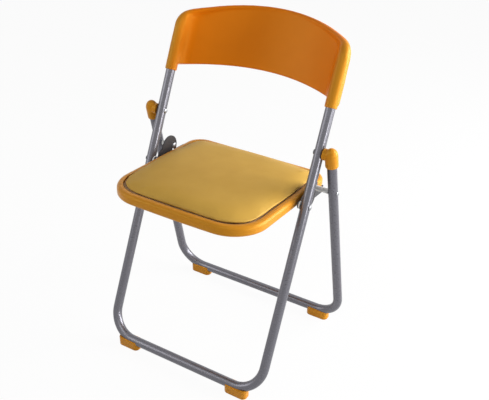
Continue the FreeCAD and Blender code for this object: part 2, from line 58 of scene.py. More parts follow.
# %% Leaning directions
MM = 0.001
FRONT_LEAN = math.radians(26)
SEAT_TILT = math.radians(4.5)
seat_up = Vector((0, math.sin(SEAT_TILT), math.cos(SEAT_TILT)))
seat_back = Vector((0, math.cos(SEAT_TILT), -math.sin(SEAT_TILT)))
leg_up = Vector((0, math.sin(FRONT_LEAN), math.cos(FRONT_LEAN)))
back_out = Vector((0, math.cos(FRONT_LEAN), -math.sin(FRONT_LEAN)))
side_out = Vector((1, 0, 0))
print("seat slopes", round(math.degrees(SEAT_TILT), 1), "degrees")

# %% [markdown]
# ## Small tools for shapes
# A few jobs come up again and again: finding the ends of a turned piece, making a plain mesh of what
# modifiers give, rebuilding a skin evenly, smoothing it, and putting a finish on it.


# %% Shape helpers
def axis_ends(node, axis):
    """The two ends of a turned piece's centre line along a direction."""
    across = axis.orthogonal().normalized()
    other = axis.cross(across)
    points = [vertex.co for vertex in nodes[node].data.vertices]
    spans = []
    for direction in (axis, across, other):
        along = [point.dot(direction) for point in points]
        spans.append((min(along), max(along)))
    middle = across * sum(spans[1]) / 2 + other * sum(spans[2]) / 2
    return middle + axis * spans[0][0], middle + axis * spans[0][1]


def unit(value):
    """A number kept between nought and one."""
    return min(max(value, 0), 1)


def new_object(name, data):
    """A new object in the scene, at the origin."""
    made = bpy.data.objects.new(name, data)
    scene.collection.objects.link(made)
    return made


def baked(piece):
    """The plain mesh that a piece's modifiers or curve give."""
    graph = bpy.context.evaluated_depsgraph_get()
    return bpy.data.meshes.new_from_object(piece.evaluated_get(graph))


def remesh(piece, voxel):
    """Rebuild a piece's skin as an even mesh."""
    even = piece.modifiers.new("even", "REMESH")
    even.mode = "VOXEL"
    even.voxel_size = voxel
    piece.data = baked(piece)
    piece.modifiers.clear()


def relax(piece, rounds, group=""):
    """Smooth a piece, or the points of one group of it."""
    smooth = piece.modifiers.new("relax", "CORRECTIVE_SMOOTH")
    smooth.use_only_smooth = True
    smooth.iterations = rounds
    smooth.vertex_group = group


def settle(piece, material):
    """Keep what the modifiers give, with smooth faces and one finish."""
    piece.data = baked(piece)
    piece.modifiers.clear()
    piece.vertex_groups.clear()
    piece.data.materials.clear()
    piece.data.materials.append(material)
    for face in piece.data.polygons:
        face.use_smooth = True


# %% [markdown]
# ## Building blocks for finishes
# A finish is a Principled shader with a few textures in front of it. Each helper adds one step, so
# the recipes below read like a paint maker's notes. Patterns read Object coordinates, because every
# piece sits at the origin and the pattern then stays on it when the chair folds.


# %% Finish helpers
def start_finish(name, base, roughness, metallic=0.0):
    """A new material with its shader and the coordinates that its patterns read."""
    material = bpy.data.materials.new(name)
    material.use_nodes = True
    tree = material.node_tree
    shader = tree.nodes["Principled BSDF"]
    shader.inputs["Base Color"].default_value = (*base, 1)
    shader.inputs["Roughness"].default_value = roughness
    shader.inputs["Metallic"].default_value = metallic
    place = tree.nodes.new("ShaderNodeTexCoord")
    return material, tree, shader, place.outputs["Object"]


def speckle(tree, place, scale, detail=2.0, stretch=(1, 1, 1)):
    """A noise pattern; stretch draws it out along an axis."""
    mapping = tree.nodes.new("ShaderNodeMapping")
    mapping.inputs["Scale"].default_value = stretch
    noise = tree.nodes.new("ShaderNodeTexNoise")
    noise.inputs["Scale"].default_value = scale
    noise.inputs["Detail"].default_value = detail
    tree.links.new(place, mapping.inputs["Vector"])
    tree.links.new(mapping.outputs["Vector"], noise.inputs["Vector"])
    return noise.outputs["Fac"]


def spread(tree, source, low=0.0, high=1.0, start=0.3, stop=0.7):
    """Map a pattern onto a range of numbers."""
    ramp = tree.nodes.new("ShaderNodeMapRange")
    ramp.inputs["From Min"].default_value = start
    ramp.inputs["From Max"].default_value = stop
    ramp.inputs["To Min"].default_value = low
    ramp.inputs["To Max"].default_value = high
    tree.links.new(source, ramp.inputs["Value"])
    return ramp.outputs["Result"]


def two_tone(tree, source, dark, light):
    """Mix two colours by a pattern."""
    mix = tree.nodes.new("ShaderNodeMix")
    mix.data_type = "RGBA"
    mix.inputs["A"].default_value = (*dark, 1)
    mix.inputs["B"].default_value = (*light, 1)
    tree.links.new(source, mix.inputs["Factor"])
    return mix.outputs["Result"]


def raise_grain(tree, shader, source, strength, depth):
    """Let a pattern stand out of the surface."""
    bump = tree.nodes.new("ShaderNodeBump")
    bump.inputs["Strength"].default_value = strength
    bump.inputs["Distance"].default_value = depth
    tree.links.new(source, bump.inputs["Height"])
    tree.links.new(bump.outputs["Normal"], shader.inputs["Normal"])


# %% [markdown]
# ## Silver paint on the tubes
# The bent tubes carry a silver-grey paint with fine metal flakes in it. Up close it shows a slight
# sparkle and the soft ripple that sprayed paint always has. A partly metallic shader gives the
# streaky highlight along a tube, and two noises give the flakes and the ripple.

# %% Silver paint
SILVER = (0.145, 0.142, 0.162)
SILVER_DARK = (0.141, 0.138, 0.158)
SILVER_LIGHT = (0.149, 0.146, 0.166)
FLAKE_SCALE = 1800
SPRAY_SCALE = 260


def silver_paint():
    """Metallic grey paint with flakes and a fine ripple."""
    material, tree, shader, place = start_finish("silver_paint", SILVER, roughness=0.28, metallic=0.55)
    flakes = spread(tree, speckle(tree, place, FLAKE_SCALE, detail=1.0))
    tint = two_tone(tree, flakes, SILVER_DARK, SILVER_LIGHT)
    tree.links.new(tint, shader.inputs["Base Color"])
    ripple = speckle(tree, place, SPRAY_SCALE)
    tree.links.new(spread(tree, ripple, low=0.27, high=0.29), shader.inputs["Roughness"])
    raise_grain(tree, shader, ripple, strength=0.006, depth=0.0003)
    return material


silver = silver_paint()
print("finish", silver.name)

# %% [markdown]
# ## Orange moulded plastic
# The backrest, seat tray, elbows and feet are one orange plastic. Its surface is satin with a very
# fine texture from the mould, and the colour drifts a little where the melt flowed. The thin panel of
# the back takes a deeper orange between the sleeves as painted shade, for its face that turns from the
# main lamp, while the sleeves keep the plain colour, so the back blends two tones across its width.
# Highlights are warm, and a little sheen brightens rounded edges as light in the plastic does.

# %% Orange plastic
YELLOW_LOW = (0.55, 0.215, 0.016)
YELLOW_HIGH = (0.6, 0.245, 0.02)
# Painted shade: the deeper orange of the back's panel between the sleeves
PANEL_SHADE_LOW = (0.69, 0.163, 0.002)
PANEL_SHADE_HIGH = (0.75, 0.185, 0.003)
FLOW_SCALE = 9
MOULD_SCALE = 1400
# Half widths between which the panel's painted shade gives way to the sleeves' plain colour
PANEL_ENDS = 0.188
SLEEVE_STARTS = 0.212


def orange_plastic(name):
    """Satin orange plastic with a mould's fine texture and slow drifts of colour."""
    material, tree, shader, place = start_finish(name, YELLOW_LOW, roughness=0.34)
    drift = spread(tree, speckle(tree, place, FLOW_SCALE, detail=3.0))
    tint = two_tone(tree, drift, YELLOW_LOW, YELLOW_HIGH)
    tree.links.new(tint, shader.inputs["Base Color"])
    shader.inputs["Specular IOR Level"].default_value = 0.32
    shader.inputs["Specular Tint"].default_value = (1, 0.8, 0.15, 1)
    shader.inputs["Sheen Weight"].default_value = 0.04
    shader.inputs["Sheen Roughness"].default_value = 0.35
    shader.inputs["Sheen Tint"].default_value = (1, 0.72, 0.2, 1)
    texture = speckle(tree, place, MOULD_SCALE)
    tree.links.new(spread(tree, texture, low=0.32, high=0.38), shader.inputs["Roughness"])
    raise_grain(tree, shader, texture, strength=0.05, depth=0.0002)
    return material, tree, shader, place, drift, tint


def orange_back_painted_shade():
    """The same plastic, with painted shade: a deeper orange on the panel between the sleeves."""
    material, tree, shader, place, drift, edge_tint = orange_plastic("orange_back_painted_shade")
    # The panel's painted shade, mixed in by the distance from the middle
    panel_painted_shade = two_tone(tree, drift, PANEL_SHADE_LOW, PANEL_SHADE_HIGH)
    split = tree.nodes.new("ShaderNodeSeparateXYZ")
    width = tree.nodes.new("ShaderNodeMath")
    width.operation = "ABSOLUTE"
    tree.links.new(place, split.inputs["Vector"])
    tree.links.new(split.outputs["X"], width.inputs[0])
    share = spread(tree, width.outputs["Value"], start=PANEL_ENDS, stop=SLEEVE_STARTS)
    blend = tree.nodes.new("ShaderNodeMix")
    blend.data_type = "RGBA"
    tree.links.new(share, blend.inputs["Factor"])
    tree.links.new(panel_painted_shade, blend.inputs["A"])
    tree.links.new(edge_tint, blend.inputs["B"])
    tree.links.new(blend.outputs["Result"], shader.inputs["Base Color"])
    return material


orange = orange_plastic("orange_plastic")[0]
back_orange_painted_shade = orange_back_painted_shade()
print("finishes", orange.name, "and", back_orange_painted_shade.name)

# %% [markdown]
# ## Mustard vinyl on the pad
# The pad's cover is a matt vinyl with a leather-like grain of small rounded cells. A Voronoi pattern
# gives the cells and their creases, and a slow noise keeps the colour from being flat.

# %% Mustard vinyl
VINYL = (0.5, 0.29, 0.052)
VINYL_DARK = (0.53, 0.31, 0.05)
VINYL_LIGHT = (0.585, 0.35, 0.062)
CELL_SCALE = 620
CELL_CREASE = 0.25
VINYL_CLOUD_SCALE = 14


def mustard_vinyl():
    """Matt vinyl with a grain of small cells."""
    material, tree, shader, place = start_finish("mustard_vinyl", VINYL, roughness=0.6)
    cells = tree.nodes.new("ShaderNodeTexVoronoi")
    cells.feature = "DISTANCE_TO_EDGE"
    cells.inputs["Scale"].default_value = CELL_SCALE
    tree.links.new(place, cells.inputs["Vector"])
    grain = spread(tree, cells.outputs["Distance"], start=0.0, stop=CELL_CREASE)
    cloud = spread(tree, speckle(tree, place, VINYL_CLOUD_SCALE, detail=3.0))
    tint = two_tone(tree, cloud, VINYL_DARK, VINYL_LIGHT)
    tree.links.new(tint, shader.inputs["Base Color"])
    gloss = spread(tree, grain, low=0.68, high=0.55, start=0.0, stop=1.0)
    tree.links.new(gloss, shader.inputs["Roughness"])
    shader.inputs["Specular IOR Level"].default_value = 0.22
    shader.inputs["Sheen Weight"].default_value = 0.05
    shader.inputs["Sheen Roughness"].default_value = 0.4
    raise_grain(tree, shader, grain, strength=0.25, depth=0.0002)
    return material


vinyl = mustard_vinyl()
print("finish", vinyl.name)

# %% [markdown]
# ## Small metal and hidden parts
# The slotted brackets are black painted sheet, the fasteners are dull zinc plated steel with cloudy
# spots, the spacers are white nylon, and the board under the pad is plywood with a drawn-out grain.

# %% Black paint, zinc, nylon and plywood
BLACK = (0.032, 0.032, 0.036)
BLACK_RIPPLE_SCALE = 420
ZINC = (0.3, 0.305, 0.32)
ZINC_DARK = (0.26, 0.265, 0.285)
ZINC_LIGHT = (0.34, 0.345, 0.355)
ZINC_CLOUD_SCALE = 350
NYLON = (0.84, 0.84, 0.81)
NYLON_CLOUD_SCALE = 500
PLY = (0.52, 0.33, 0.17)
PLY_DARK = (0.42, 0.25, 0.12)
PLY_LIGHT = (0.58, 0.39, 0.21)
PLY_GRAIN_SCALE = 60
PLY_DRAWN_OUT = (1, 0.08, 1)


def black_paint():
    """Black paint with a faint ripple."""
    material, tree, shader, place = start_finish("black_paint", BLACK, roughness=0.38)
    ripple = speckle(tree, place, BLACK_RIPPLE_SCALE)
    tree.links.new(spread(tree, ripple, low=0.32, high=0.46), shader.inputs["Roughness"])
    raise_grain(tree, shader, ripple, strength=0.12, depth=0.0003)
    return material


def zinc_steel():
    """Plated steel with cloudy spots."""
    material, tree, shader, place = start_finish("zinc_steel", ZINC, roughness=0.42, metallic=0.95)
    cloud = spread(tree, speckle(tree, place, ZINC_CLOUD_SCALE, detail=3.0))
    tint = two_tone(tree, cloud, ZINC_DARK, ZINC_LIGHT)
    tree.links.new(tint, shader.inputs["Base Color"])
    gloss = spread(tree, cloud, low=0.48, high=0.38, start=0.0, stop=1.0)
    tree.links.new(gloss, shader.inputs["Roughness"])
    return material


def white_nylon():
    """Matt white nylon."""
    material, tree, shader, place = start_finish("white_nylon", NYLON, roughness=0.48)
    cloud = speckle(tree, place, NYLON_CLOUD_SCALE)
    tree.links.new(spread(tree, cloud, low=0.42, high=0.56), shader.inputs["Roughness"])
    return material


def plywood():
    """Raw board with a grain drawn out along the depth."""
    material, tree, shader, place = start_finish("plywood", PLY, roughness=0.7)
    grain = speckle(tree, place, PLY_GRAIN_SCALE, detail=5.0, stretch=PLY_DRAWN_OUT)
    tint = two_tone(tree, spread(tree, grain), PLY_DARK, PLY_LIGHT)
    tree.links.new(tint, shader.inputs["Base Color"])
    raise_grain(tree, shader, grain, strength=0.2, depth=0.0004)
    return material


finishes = {
    "silver_paint": silver,
    "orange_plastic": orange,
    "mustard_vinyl": vinyl,
    "black_paint": black_paint(),
    "zinc_steel": zinc_steel(),
    "white_nylon": white_nylon(),
    "plywood": plywood(),
}
print("finishes", len(finishes))

# %% [markdown]
# ## Dressing the solids
# The record of the chair says which finish each solid takes. Its mesh is right as it is, so only the
# material in its slot changes.

# %% Give each solid its finish
slot_of = {part["node"]: part["material_slot"] for part in frame["record"]["subparts"]}
for name, piece in nodes.items():
    piece.data.materials.clear()
    piece.data.materials.append(finishes[slot_of[name]])
print("dressed", len(slot_of), "solids")

# %% [markdown]
# ## Fasteners from one node tree each
# The chair has round rivets and cross-headed screws, the same shape many times. Geometry Nodes set
# one shape on many points: a small mesh holds a point for each head and an edge for each shank, and
# the tree turns those into steel. Afterwards the result is made a plain mesh, one for each body.


# %% Node tree helpers
def new_tree(name, sizes):
    """A geometry tree with one named input for each size; returns it with its ends."""
    tree = bpy.data.node_groups.new(name, "GeometryNodeTree")
    tree.interface.new_socket("Geometry", in_out="INPUT", socket_type="NodeSocketGeometry")
    keys = {}
    for label in sizes:
        socket = tree.interface.new_socket(label, in_out="INPUT", socket_type="NodeSocketFloat")
        keys[label] = socket.identifier
    tree.interface.new_socket("Geometry", in_out="OUTPUT", socket_type="NodeSocketGeometry")
    return tree, tree.nodes.new("NodeGroupInput"), tree.nodes.new("NodeGroupOutput"), keys


def named(tree, kind, label):
    """A value stored on the points of the mesh."""
    node = tree.nodes.new("GeometryNodeInputNamedAttribute")
    node.data_type = kind
    node.inputs["Name"].default_value = label
    return node.outputs["Attribute"]


def finish_tree(tree, source, end, material):
    """Real geometry and a material, then out of the tree."""
    real = tree.nodes.new("GeometryNodeRealizeInstances")
    paint = tree.nodes.new("GeometryNodeSetMaterial")
    paint.inputs["Material"].default_value = material
    tree.links.new(source, real.inputs["Geometry"])
    tree.links.new(real.outputs["Geometry"], paint.inputs["Geometry"])
    tree.links.new(paint.outputs["Geometry"], end.inputs["Geometry"])


# %% [markdown]
# ## What rivets and screws share
# Both have a low domed head, the upper half of a flattened ball, and a round shank. The head is set on
# each seat with its pole along the stored direction, and the shanks follow the edges of the same mesh.

# %% Heads and shanks
CUTTER_SIZE = (3, 3, 3)
CUTTER_LIFT = (0, 0, 1.5)


def half_ball(tree, segments, rings):
    """The upper half of a ball with a radius of one."""
    make = tree.nodes.new
    link = tree.links.new
    ball = make("GeometryNodeMeshUVSphere")
    ball.inputs["Segments"].default_value = segments
    ball.inputs["Rings"].default_value = rings
    ball.inputs["Radius"].default_value = 1.0
    block = make("GeometryNodeMeshCube")
    block.inputs["Size"].default_value = CUTTER_SIZE
    lifted = make("GeometryNodeTransform")
    lifted.inputs["Translation"].default_value = CUTTER_LIFT
    dome = make("GeometryNodeMeshBoolean")
    dome.operation = "INTERSECT"
    link(block.outputs["Mesh"], lifted.inputs["Geometry"])
    link(ball.outputs["Mesh"], dome.inputs["Mesh 2"])
    link(lifted.outputs["Geometry"], dome.inputs["Mesh 2"])
    return dome.outputs["Mesh"]


def heads_and_shanks(tree, start, end, sides, head, radius, height):
    """Shanks along the edges, and heads on the points whose stored radius is above nought."""
    make = tree.nodes.new
    link = tree.links.new
    line = make("GeometryNodeMeshToCurve")
    circle = make("GeometryNodeCurvePrimitiveCircle")
    circle.inputs["Resolution"].default_value = sides
    shank = make("GeometryNodeCurveToMesh")
    shank.inputs["Fill Caps"].default_value = True
    link(start.outputs["Geometry"], line.inputs["Mesh"])
    link(start.outputs["Shank radius"], circle.inputs["Radius"])
    link(line.outputs["Curve"], shank.inputs["Curve"])
    link(circle.outputs["Curve"], shank.inputs["Profile Curve"])
    headed = make("FunctionNodeCompare")
    headed.operation = "GREATER_THAN"
    link(named(tree, "FLOAT", "head_r"), headed.inputs["A"])
    scale = make("ShaderNodeCombineXYZ")
    link(radius, scale.inputs["X"])
    link(radius, scale.inputs["Y"])
    link(height, scale.inputs["Z"])
    turn = make("FunctionNodeAlignRotationToVector")
    turn.axis = "Z"
    link(named(tree, "FLOAT_VECTOR", "out"), turn.inputs["Vector"])
    heads = make("GeometryNodeInstanceOnPoints")
    link(start.outputs["Geometry"], heads.inputs["Points"])
    link(headed.outputs["Result"], heads.inputs["Selection"])
    link(head, heads.inputs["Instance"])
    link(turn.outputs["Rotation"], heads.inputs["Rotation"])
    link(scale.outputs["Vector"], heads.inputs["Scale"])
    joined = make("GeometryNodeJoinGeometry")
    link(shank.outputs["Mesh"], joined.inputs["Geometry"])
    link(heads.outputs["Instances"], joined.inputs["Geometry"])
    finish_tree(tree, joined.outputs["Geometry"], end, finishes["zinc_steel"])


def grow(name, seats, tree, keys, sizes):
    """Run a tree on pairs of seats, each a point, a direction and a radius, and keep the mesh."""
    shanks = [(count, count + 1) for count in range(0, len(seats), 2)]
    mesh = bpy.data.meshes.new(name + "_seats")
    mesh.from_pydata([point for point, out, radius in seats], shanks, [])
    mesh.attributes.new("out", "FLOAT_VECTOR", "POINT")
    mesh.attributes.new("head_r", "FLOAT", "POINT")
    facing = mesh.attributes["out"].data
    reach = mesh.attributes["head_r"].data
    for number, (point, out, radius) in enumerate(seats):
        facing[number].vector = out
        reach[number].value = radius
    seed = new_object(name + "_seed", mesh)
    modifier = seed.modifiers.new("grow", "NODES")
    modifier.node_group = tree
    for label, value in sizes.items():
        modifier[keys[label]] = value
    made = baked(seed)
    bpy.data.objects.remove(seed)
    made.name = name
    print(name, "has", len(made.polygons), "faces")
    return new_object(name, made)


# %% [markdown]
# ## Rivets
# A rivet is a plain shank with a low domed head on each end. The elbow hides the outer end of a fold
# rivet, so that end has no head.

# %% Rivet tree
RIVET_SEGMENTS = 40
RIVET_RINGS = 20
RIVET_SIDES = 32


def rivet_tree():
    """Shanks with domed heads, each head as wide as its point says."""
    tree, start, end, keys = new_tree("rivets", ["Shank radius", "Dome height"])
    head = half_ball(tree, RIVET_SEGMENTS, RIVET_RINGS)
    radius = named(tree, "FLOAT", "head_r")
    heads_and_shanks(tree, start, end, RIVET_SIDES, head, radius, start.outputs["Dome height"])
    return tree, keys


rivets, rivet_keys = rivet_tree()
print("rivet tree has", len(rivets.nodes), "nodes")

# %% Rivets of each body
HEAD_THICK = 2.4 * MM
RIVET_SIZES = {"Shank radius": 4 * MM, "Dome height": HEAD_THICK}
# The radius of a rivet's inner head and of its outer head
PIVOT_HEADS = (7 * MM, 6 * MM)
FOLD_HEADS = (6 * MM, 0)
STUD_HEADS = (8 * MM, 6 * MM)


def rivet_seats(node, inner_r, outer_r):
    """Seats of one rivet: its inner head and, where it has one, its outer head."""
    low, high = axis_ends(node, side_out)
    inner, outer = (low, high) if abs(low.x) < abs(high.x) else (high, low)
    out = side_out if outer.x > 0 else -side_out
    outer_seat = outer - out * HEAD_THICK if outer_r else outer
    return [(inner + out * HEAD_THICK, -out, inner_r), (outer_seat, out, outer_r)]


def rivet_piece(name, body, kinds):
    """All the rivets of one body as one piece that stands for their solids."""
    seats = []
    stood_for = []
    for kind, (inner_r, outer_r) in kinds.items():
        for side in ("left", "right"):
            seats += rivet_seats(f"{kind}_{side}", inner_r, outer_r)
            stood_for.append(f"{kind}_{side}")
    piece = grow(name, seats, rivets, rivet_keys, RIVET_SIZES)
    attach(piece, body)
    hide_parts(*stood_for)


rivet_piece("pivot_rivets", "front_frame", {"seat_pivot": PIVOT_HEADS})
rivet_piece("leg_rivets", "rear_frame", {"fold_rivet": FOLD_HEADS, "slide_stud": STUD_HEADS})

# %% [markdown]
# ## Screws
# Pan-headed screws with a cross recess hold the backrest, the brackets and the pad's board. The head
# is the same low dome, less a cross of two bars, and stands on a short shank.

# %% Screw tree
SCREW_SEGMENTS = 32
SCREW_RINGS = 16
SCREW_SIDES = 20
# The recess, as shares of the head's radius and height
CROSS_BARS = ((1.1, 0.24, 1), (0.24, 1.1, 1))
CROSS_LIFT = (0, 0, 0.95)


def screw_tree():
    """Shanks with cross-recessed heads of one size."""
    tree, start, end, keys = new_tree("screws", ["Shank radius", "Head radius", "Head height"])
    carved = tree.nodes.new("GeometryNodeMeshBoolean")
    carved.operation = "DIFFERENCE"
    tree.links.new(half_ball(tree, SCREW_SEGMENTS, SCREW_RINGS), carved.inputs["Mesh 1"])
    for size in CROSS_BARS:
        bar = tree.nodes.new("GeometryNodeMeshCube")
        bar.inputs["Size"].default_value = size
        raised = tree.nodes.new("GeometryNodeTransform")
        raised.inputs["Translation"].default_value = CROSS_LIFT
        tree.links.new(bar.outputs["Mesh"], raised.inputs["Geometry"])
        tree.links.new(raised.outputs["Geometry"], carved.inputs["Mesh 2"])
    radius = start.outputs["Head radius"]
    height = start.outputs["Head height"]
    heads_and_shanks(tree, start, end, SCREW_SIDES, carved.outputs["Mesh"], radius, height)
    return tree, keys


screws, screw_keys = screw_tree()
print("screw tree has", len(screws.nodes), "nodes")

# %% Screws of each body
SCREW_SIZES = {"Shank radius": 2 * MM, "Head radius": 4.5 * MM, "Head height": HEAD_THICK}
HEADED = 1.0
BARE = 0.0


def screw_piece(name, body, names, out):
    """Screws whose heads face one way, as one piece that stands for their solids."""
    seats = []
    for node in names:
        tip, head = axis_ends(node, out)
        seats += [(head - out * HEAD_THICK, out, HEADED), (tip, out, BARE)]
    piece = grow(name, seats, screws, screw_keys, SCREW_SIZES)
    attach(piece, body)
    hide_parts(*names)


seat_screws = [name for name in nodes if name.startswith(("pad_screw", "bracket_screw"))]
back_screws = [name for name in nodes if name.startswith("backrest_screw")]
screw_piece("seat_screws", "seat", seat_screws, -seat_up)
screw_piece("back_screws", "front_frame", back_screws, back_out)

# %% [markdown]
# ## The rolled edge of the back
# On the real back each sleeve runs on into a rolled edge that thins as it rounds the corner and fades
# along the top. The solid ends its sleeves in short domes behind that line. A separate tube on top
# would show a seam, so the piece is grown from a copy of the solid instead: the domes are eased back,
# a tapering roll is laid along the edge, and a fine remesh with local smoothing blends the two.

# %% The roll's path
FOOT_LINE = Vector((0, -0.21317, 0.021))
# Width, depth behind the leg's centre line, height along the leg and radius, in millimetres
ROLL_HALF = (
    (210, 0, 657, 13.9),
    (210, 0, 720, 13.9),
    (210, 0, 756, 13.9),
    (211, 0.5, 772, 13.2),
    (207.5, 6, 787, 11),
    (193, 17, 799.5, 8.5),
    (156, 38.5, 815.5, 6),
    (111, 55.5, 830.5, 4.8),
    (56, 68, 841.3, 4.4),
    (0, 72, 844.6, 4.4),
)
ROLL_ROUNDNESS = 8
ROLL_STEPS = 10
ROLL_ORDER = 4


def on_leg(width, depth, height):
    """A point given in the leaning frame of the front legs, in millimetres."""
    return FOOT_LINE + (side_out * width + back_out * depth + leg_up * height) * MM


def edge_roll():
    """A tapering tube along the back's side and top edges, as a mesh."""
    mirrored = [(-width, *others) for width, *others in reversed(ROLL_HALF[:-1])]
    stations = list(ROLL_HALF) + mirrored
    line = bpy.data.curves.new("edge_roll", "CURVE")
    line.dimensions = "3D"
    line.bevel_depth = MM
    line.bevel_resolution = ROLL_ROUNDNESS
    line.resolution_u = ROLL_STEPS
    line.use_fill_caps = True
    spline = line.splines.new("NURBS")
    spline.points.add(len(stations) - 1)
    for point, (width, depth, height, radius) in zip(spline.points, stations):
        point.co = (*on_leg(width, depth, height), 1)
        point.radius = radius
    spline.order_u = ROLL_ORDER
    spline.use_endpoint_u = True
    holder = new_object("edge_roll", line)
    mesh = baked(holder)
    bpy.data.objects.remove(holder)
    print("edge roll has", len(mesh.polygons), "faces")
    return mesh


roll = edge_roll()

# %% Blend the roll with the back
MERGE_GAP = 1e-5
BACK_VOXEL = 1.7 * MM
DOME_SIDE = 0.19
# Height along the leg and the furthest front that a dome keeps there, in millimetres
DOME_FRONT = ((735, -14.2), (754, -14), (771, -12.7), (785, -5.5), (799, 7), (816, 20))
DOME_STARTS = DOME_FRONT[0][0]


def from_foot(point, direction):
    """How far a point lies from the foot line along a direction, in millimetres."""
    return (point - FOOT_LINE).dot(direction) / MM


def front_limit(height):
    """How far forward the shoulder may stand at a height along the leg."""
    for (low, low_front), (high, high_front) in zip(DOME_FRONT, DOME_FRONT[1:]):
        if height <= high:
            return low_front + (high_front - low_front) * (height - low) / (high - low)
    return DOME_FRONT[-1][1]


def grow_back():
    """The back's solid with its domes eased back and the roll joined on, evenly remeshed."""
    shape = bmesh.new()
    shape.from_mesh(nodes["backrest"].data)
    bmesh.ops.remove_doubles(shape, verts=shape.verts, dist=MERGE_GAP)
    for vertex in shape.verts:
        depth = from_foot(vertex.co, back_out)
        height = from_foot(vertex.co, leg_up)
        limit = front_limit(height)
        if height > DOME_STARTS and depth < limit and abs(vertex.co.x) > DOME_SIDE:
            vertex.co += back_out * (limit - depth) * MM
    shape.from_mesh(roll)
    mesh = bpy.data.meshes.new("back_cover")
    shape.to_mesh(mesh)
    shape.free()
    piece = new_object("back_cover", mesh)
    remesh(piece, BACK_VOXEL)
    print("back starts with", len(piece.data.polygons), "faces")
    return piece


back = grow_back()

# %% Smooth the back, most at its shoulders
BACK_ROUNDS = 3
SHOULDER_ROUNDS = 24
# Where the shoulders start and over what length they come in, in millimetres
SHOULDER_SIDE = 150
SHOULDER_SIDE_EASE = 40
SHOULDER_FOOT = 715
SHOULDER_FOOT_EASE = 30
shoulder = back.vertex_groups.new(name="shoulder")
for vertex in back.data.vertices:
    outwards = unit((abs(vertex.co.x) / MM - SHOULDER_SIDE) / SHOULDER_SIDE_EASE)
    upwards = unit((from_foot(vertex.co, leg_up) - SHOULDER_FOOT) / SHOULDER_FOOT_EASE)
    shoulder.add([vertex.index], outwards * upwards, "REPLACE")
relax(back, BACK_ROUNDS)
relax(back, SHOULDER_ROUNDS, "shoulder")
settle(back, back_orange_painted_shade)
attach(back, "front_frame")
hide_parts("backrest")
print("back cover has", len(back.data.polygons), "faces")

# %% [markdown]
# ## The seat pad
# The pad is foam under stretched vinyl: a low crown, soft rounded sides and a tight flat underside on
# its board. It could be a plain block with round edges, but stuffing gives truer curves. The solid is
# drawn in a little, remeshed evenly, and then blown up by a cloth simulation with its underside held,
# and how far any point may move is capped so the pad stays in its place in the tray.

# %% A fine even mesh of the pad
PAD_VOXEL = 4 * MM
DRAW_IN = 2 * MM


def pad_start():
    """The pad's solid, merged, drawn in a little and remeshed."""
    mesh = nodes["seat_pad"].data.copy()
    shape = bmesh.new()
    shape.from_mesh(mesh)
    bmesh.ops.remove_doubles(shape, verts=shape.verts, dist=MERGE_GAP)
    bmesh.ops.recalc_face_normals(shape, faces=shape.faces)
    shape.normal_update()
    for vertex in shape.verts:
        vertex.co -= vertex.normal * DRAW_IN
    shape.to_mesh(mesh)
    shape.free()
    piece = new_object("pad_cover", mesh)
    remesh(piece, PAD_VOXEL)
    print("pad starts with", len(piece.data.vertices), "points")
    return piece


pad = pad_start()

# %% Blow up the pad
FRAMES = 20
PRESSURE = 4.0
CLOTH_QUALITY = 6
HELD_HEIGHT = 1.5 * MM
SIDE_SWELL = 2.2 * MM
TOP_SWELL = 5 * MM


def stuff(piece):
    """Swell a piece by cloth under pressure, with its underside held still."""
    rest = [vertex.co.copy() for vertex in piece.data.vertices]
    underside = min(point.dot(seat_up) for point in rest)
    held = [count for count, point in enumerate(rest) if point.dot(seat_up) < underside + HELD_HEIGHT]
    piece.vertex_groups.new(name="held").add(held, 1.0, "REPLACE")
    cloth = piece.modifiers.new("stuffing", "CLOTH")
    cloth.settings.quality = CLOTH_QUALITY
    cloth.settings.use_pressure = True
    cloth.settings.uniform_pressure_force = PRESSURE
    cloth.settings.vertex_group_mass = "held"
    cloth.settings.effector_weights.gravity = 0
    cloth.point_cache.frame_start = 1
    cloth.point_cache.frame_end = FRAMES
    for count in range(1, FRAMES + 1):
        scene.frame_set(count)
    graph = bpy.context.evaluated_depsgraph_get()
    blown = [vertex.co.copy() for vertex in piece.evaluated_get(graph).data.vertices]
    piece.modifiers.clear()
    piece.vertex_groups.clear()
    scene.frame_set(1)
    for vertex, start, end in zip(piece.data.vertices, rest, blown):
        rise = (end - start).dot(seat_up)
        drift = (end - start) - seat_up * rise
        sideways = drift.normalized() * min(drift.length, SIDE_SWELL)
        vertex.co = start + sideways + seat_up * max(-SIDE_SWELL, min(rise, TOP_SWELL))
    furthest = max((end - start).length for start, end in zip(rest, blown))
    print("cloth moved by up to", round(furthest / MM, 1), "mm before the cap")


stuff(pad)

# %% [markdown]
# ## The pad's full edge
# At the rear and along the sides the stuffed edge swells out over the inner part of the tray's rim, and
# at the front it dips into the tray. Points above the rim are pushed outwards by a share that grows
# from front to rear, which keeps the underside where the board holds it.

# %% Swell the edge over the rim
OVERHANG = 12 * MM
RIM_CLEAR = 0.6 * MM
LIP_HEIGHT = 4 * MM
# Shares of the pad's depth, from its front
LIP_STARTS = 0.05
LIP_FULL = 0.5


def swell_edge(piece):
    """Push the points above the rim outwards, more to the rear."""
    rim = max(vertex.co.dot(seat_up) for vertex in nodes["seat_tray"].data.vertices)
    depths = [vertex.co.dot(seat_back) for vertex in piece.data.vertices]
    front = min(depths)
    depth = max(depths) - front
    normals = [vertex.normal.copy() for vertex in piece.data.vertices]
    for vertex, along, normal in zip(piece.data.vertices, depths, normals):
        height = unit((vertex.co.dot(seat_up) - rim - RIM_CLEAR) / LIP_HEIGHT)
        share = unit(((along - front) / depth - LIP_STARTS) / (LIP_FULL - LIP_STARTS))
        if height > 0:
            outwards = normal - seat_up * normal.dot(seat_up)
            vertex.co += outwards * OVERHANG * height * share


swell_edge(pad)
print("pad edge swells by up to", round(OVERHANG / MM, 1), "mm")

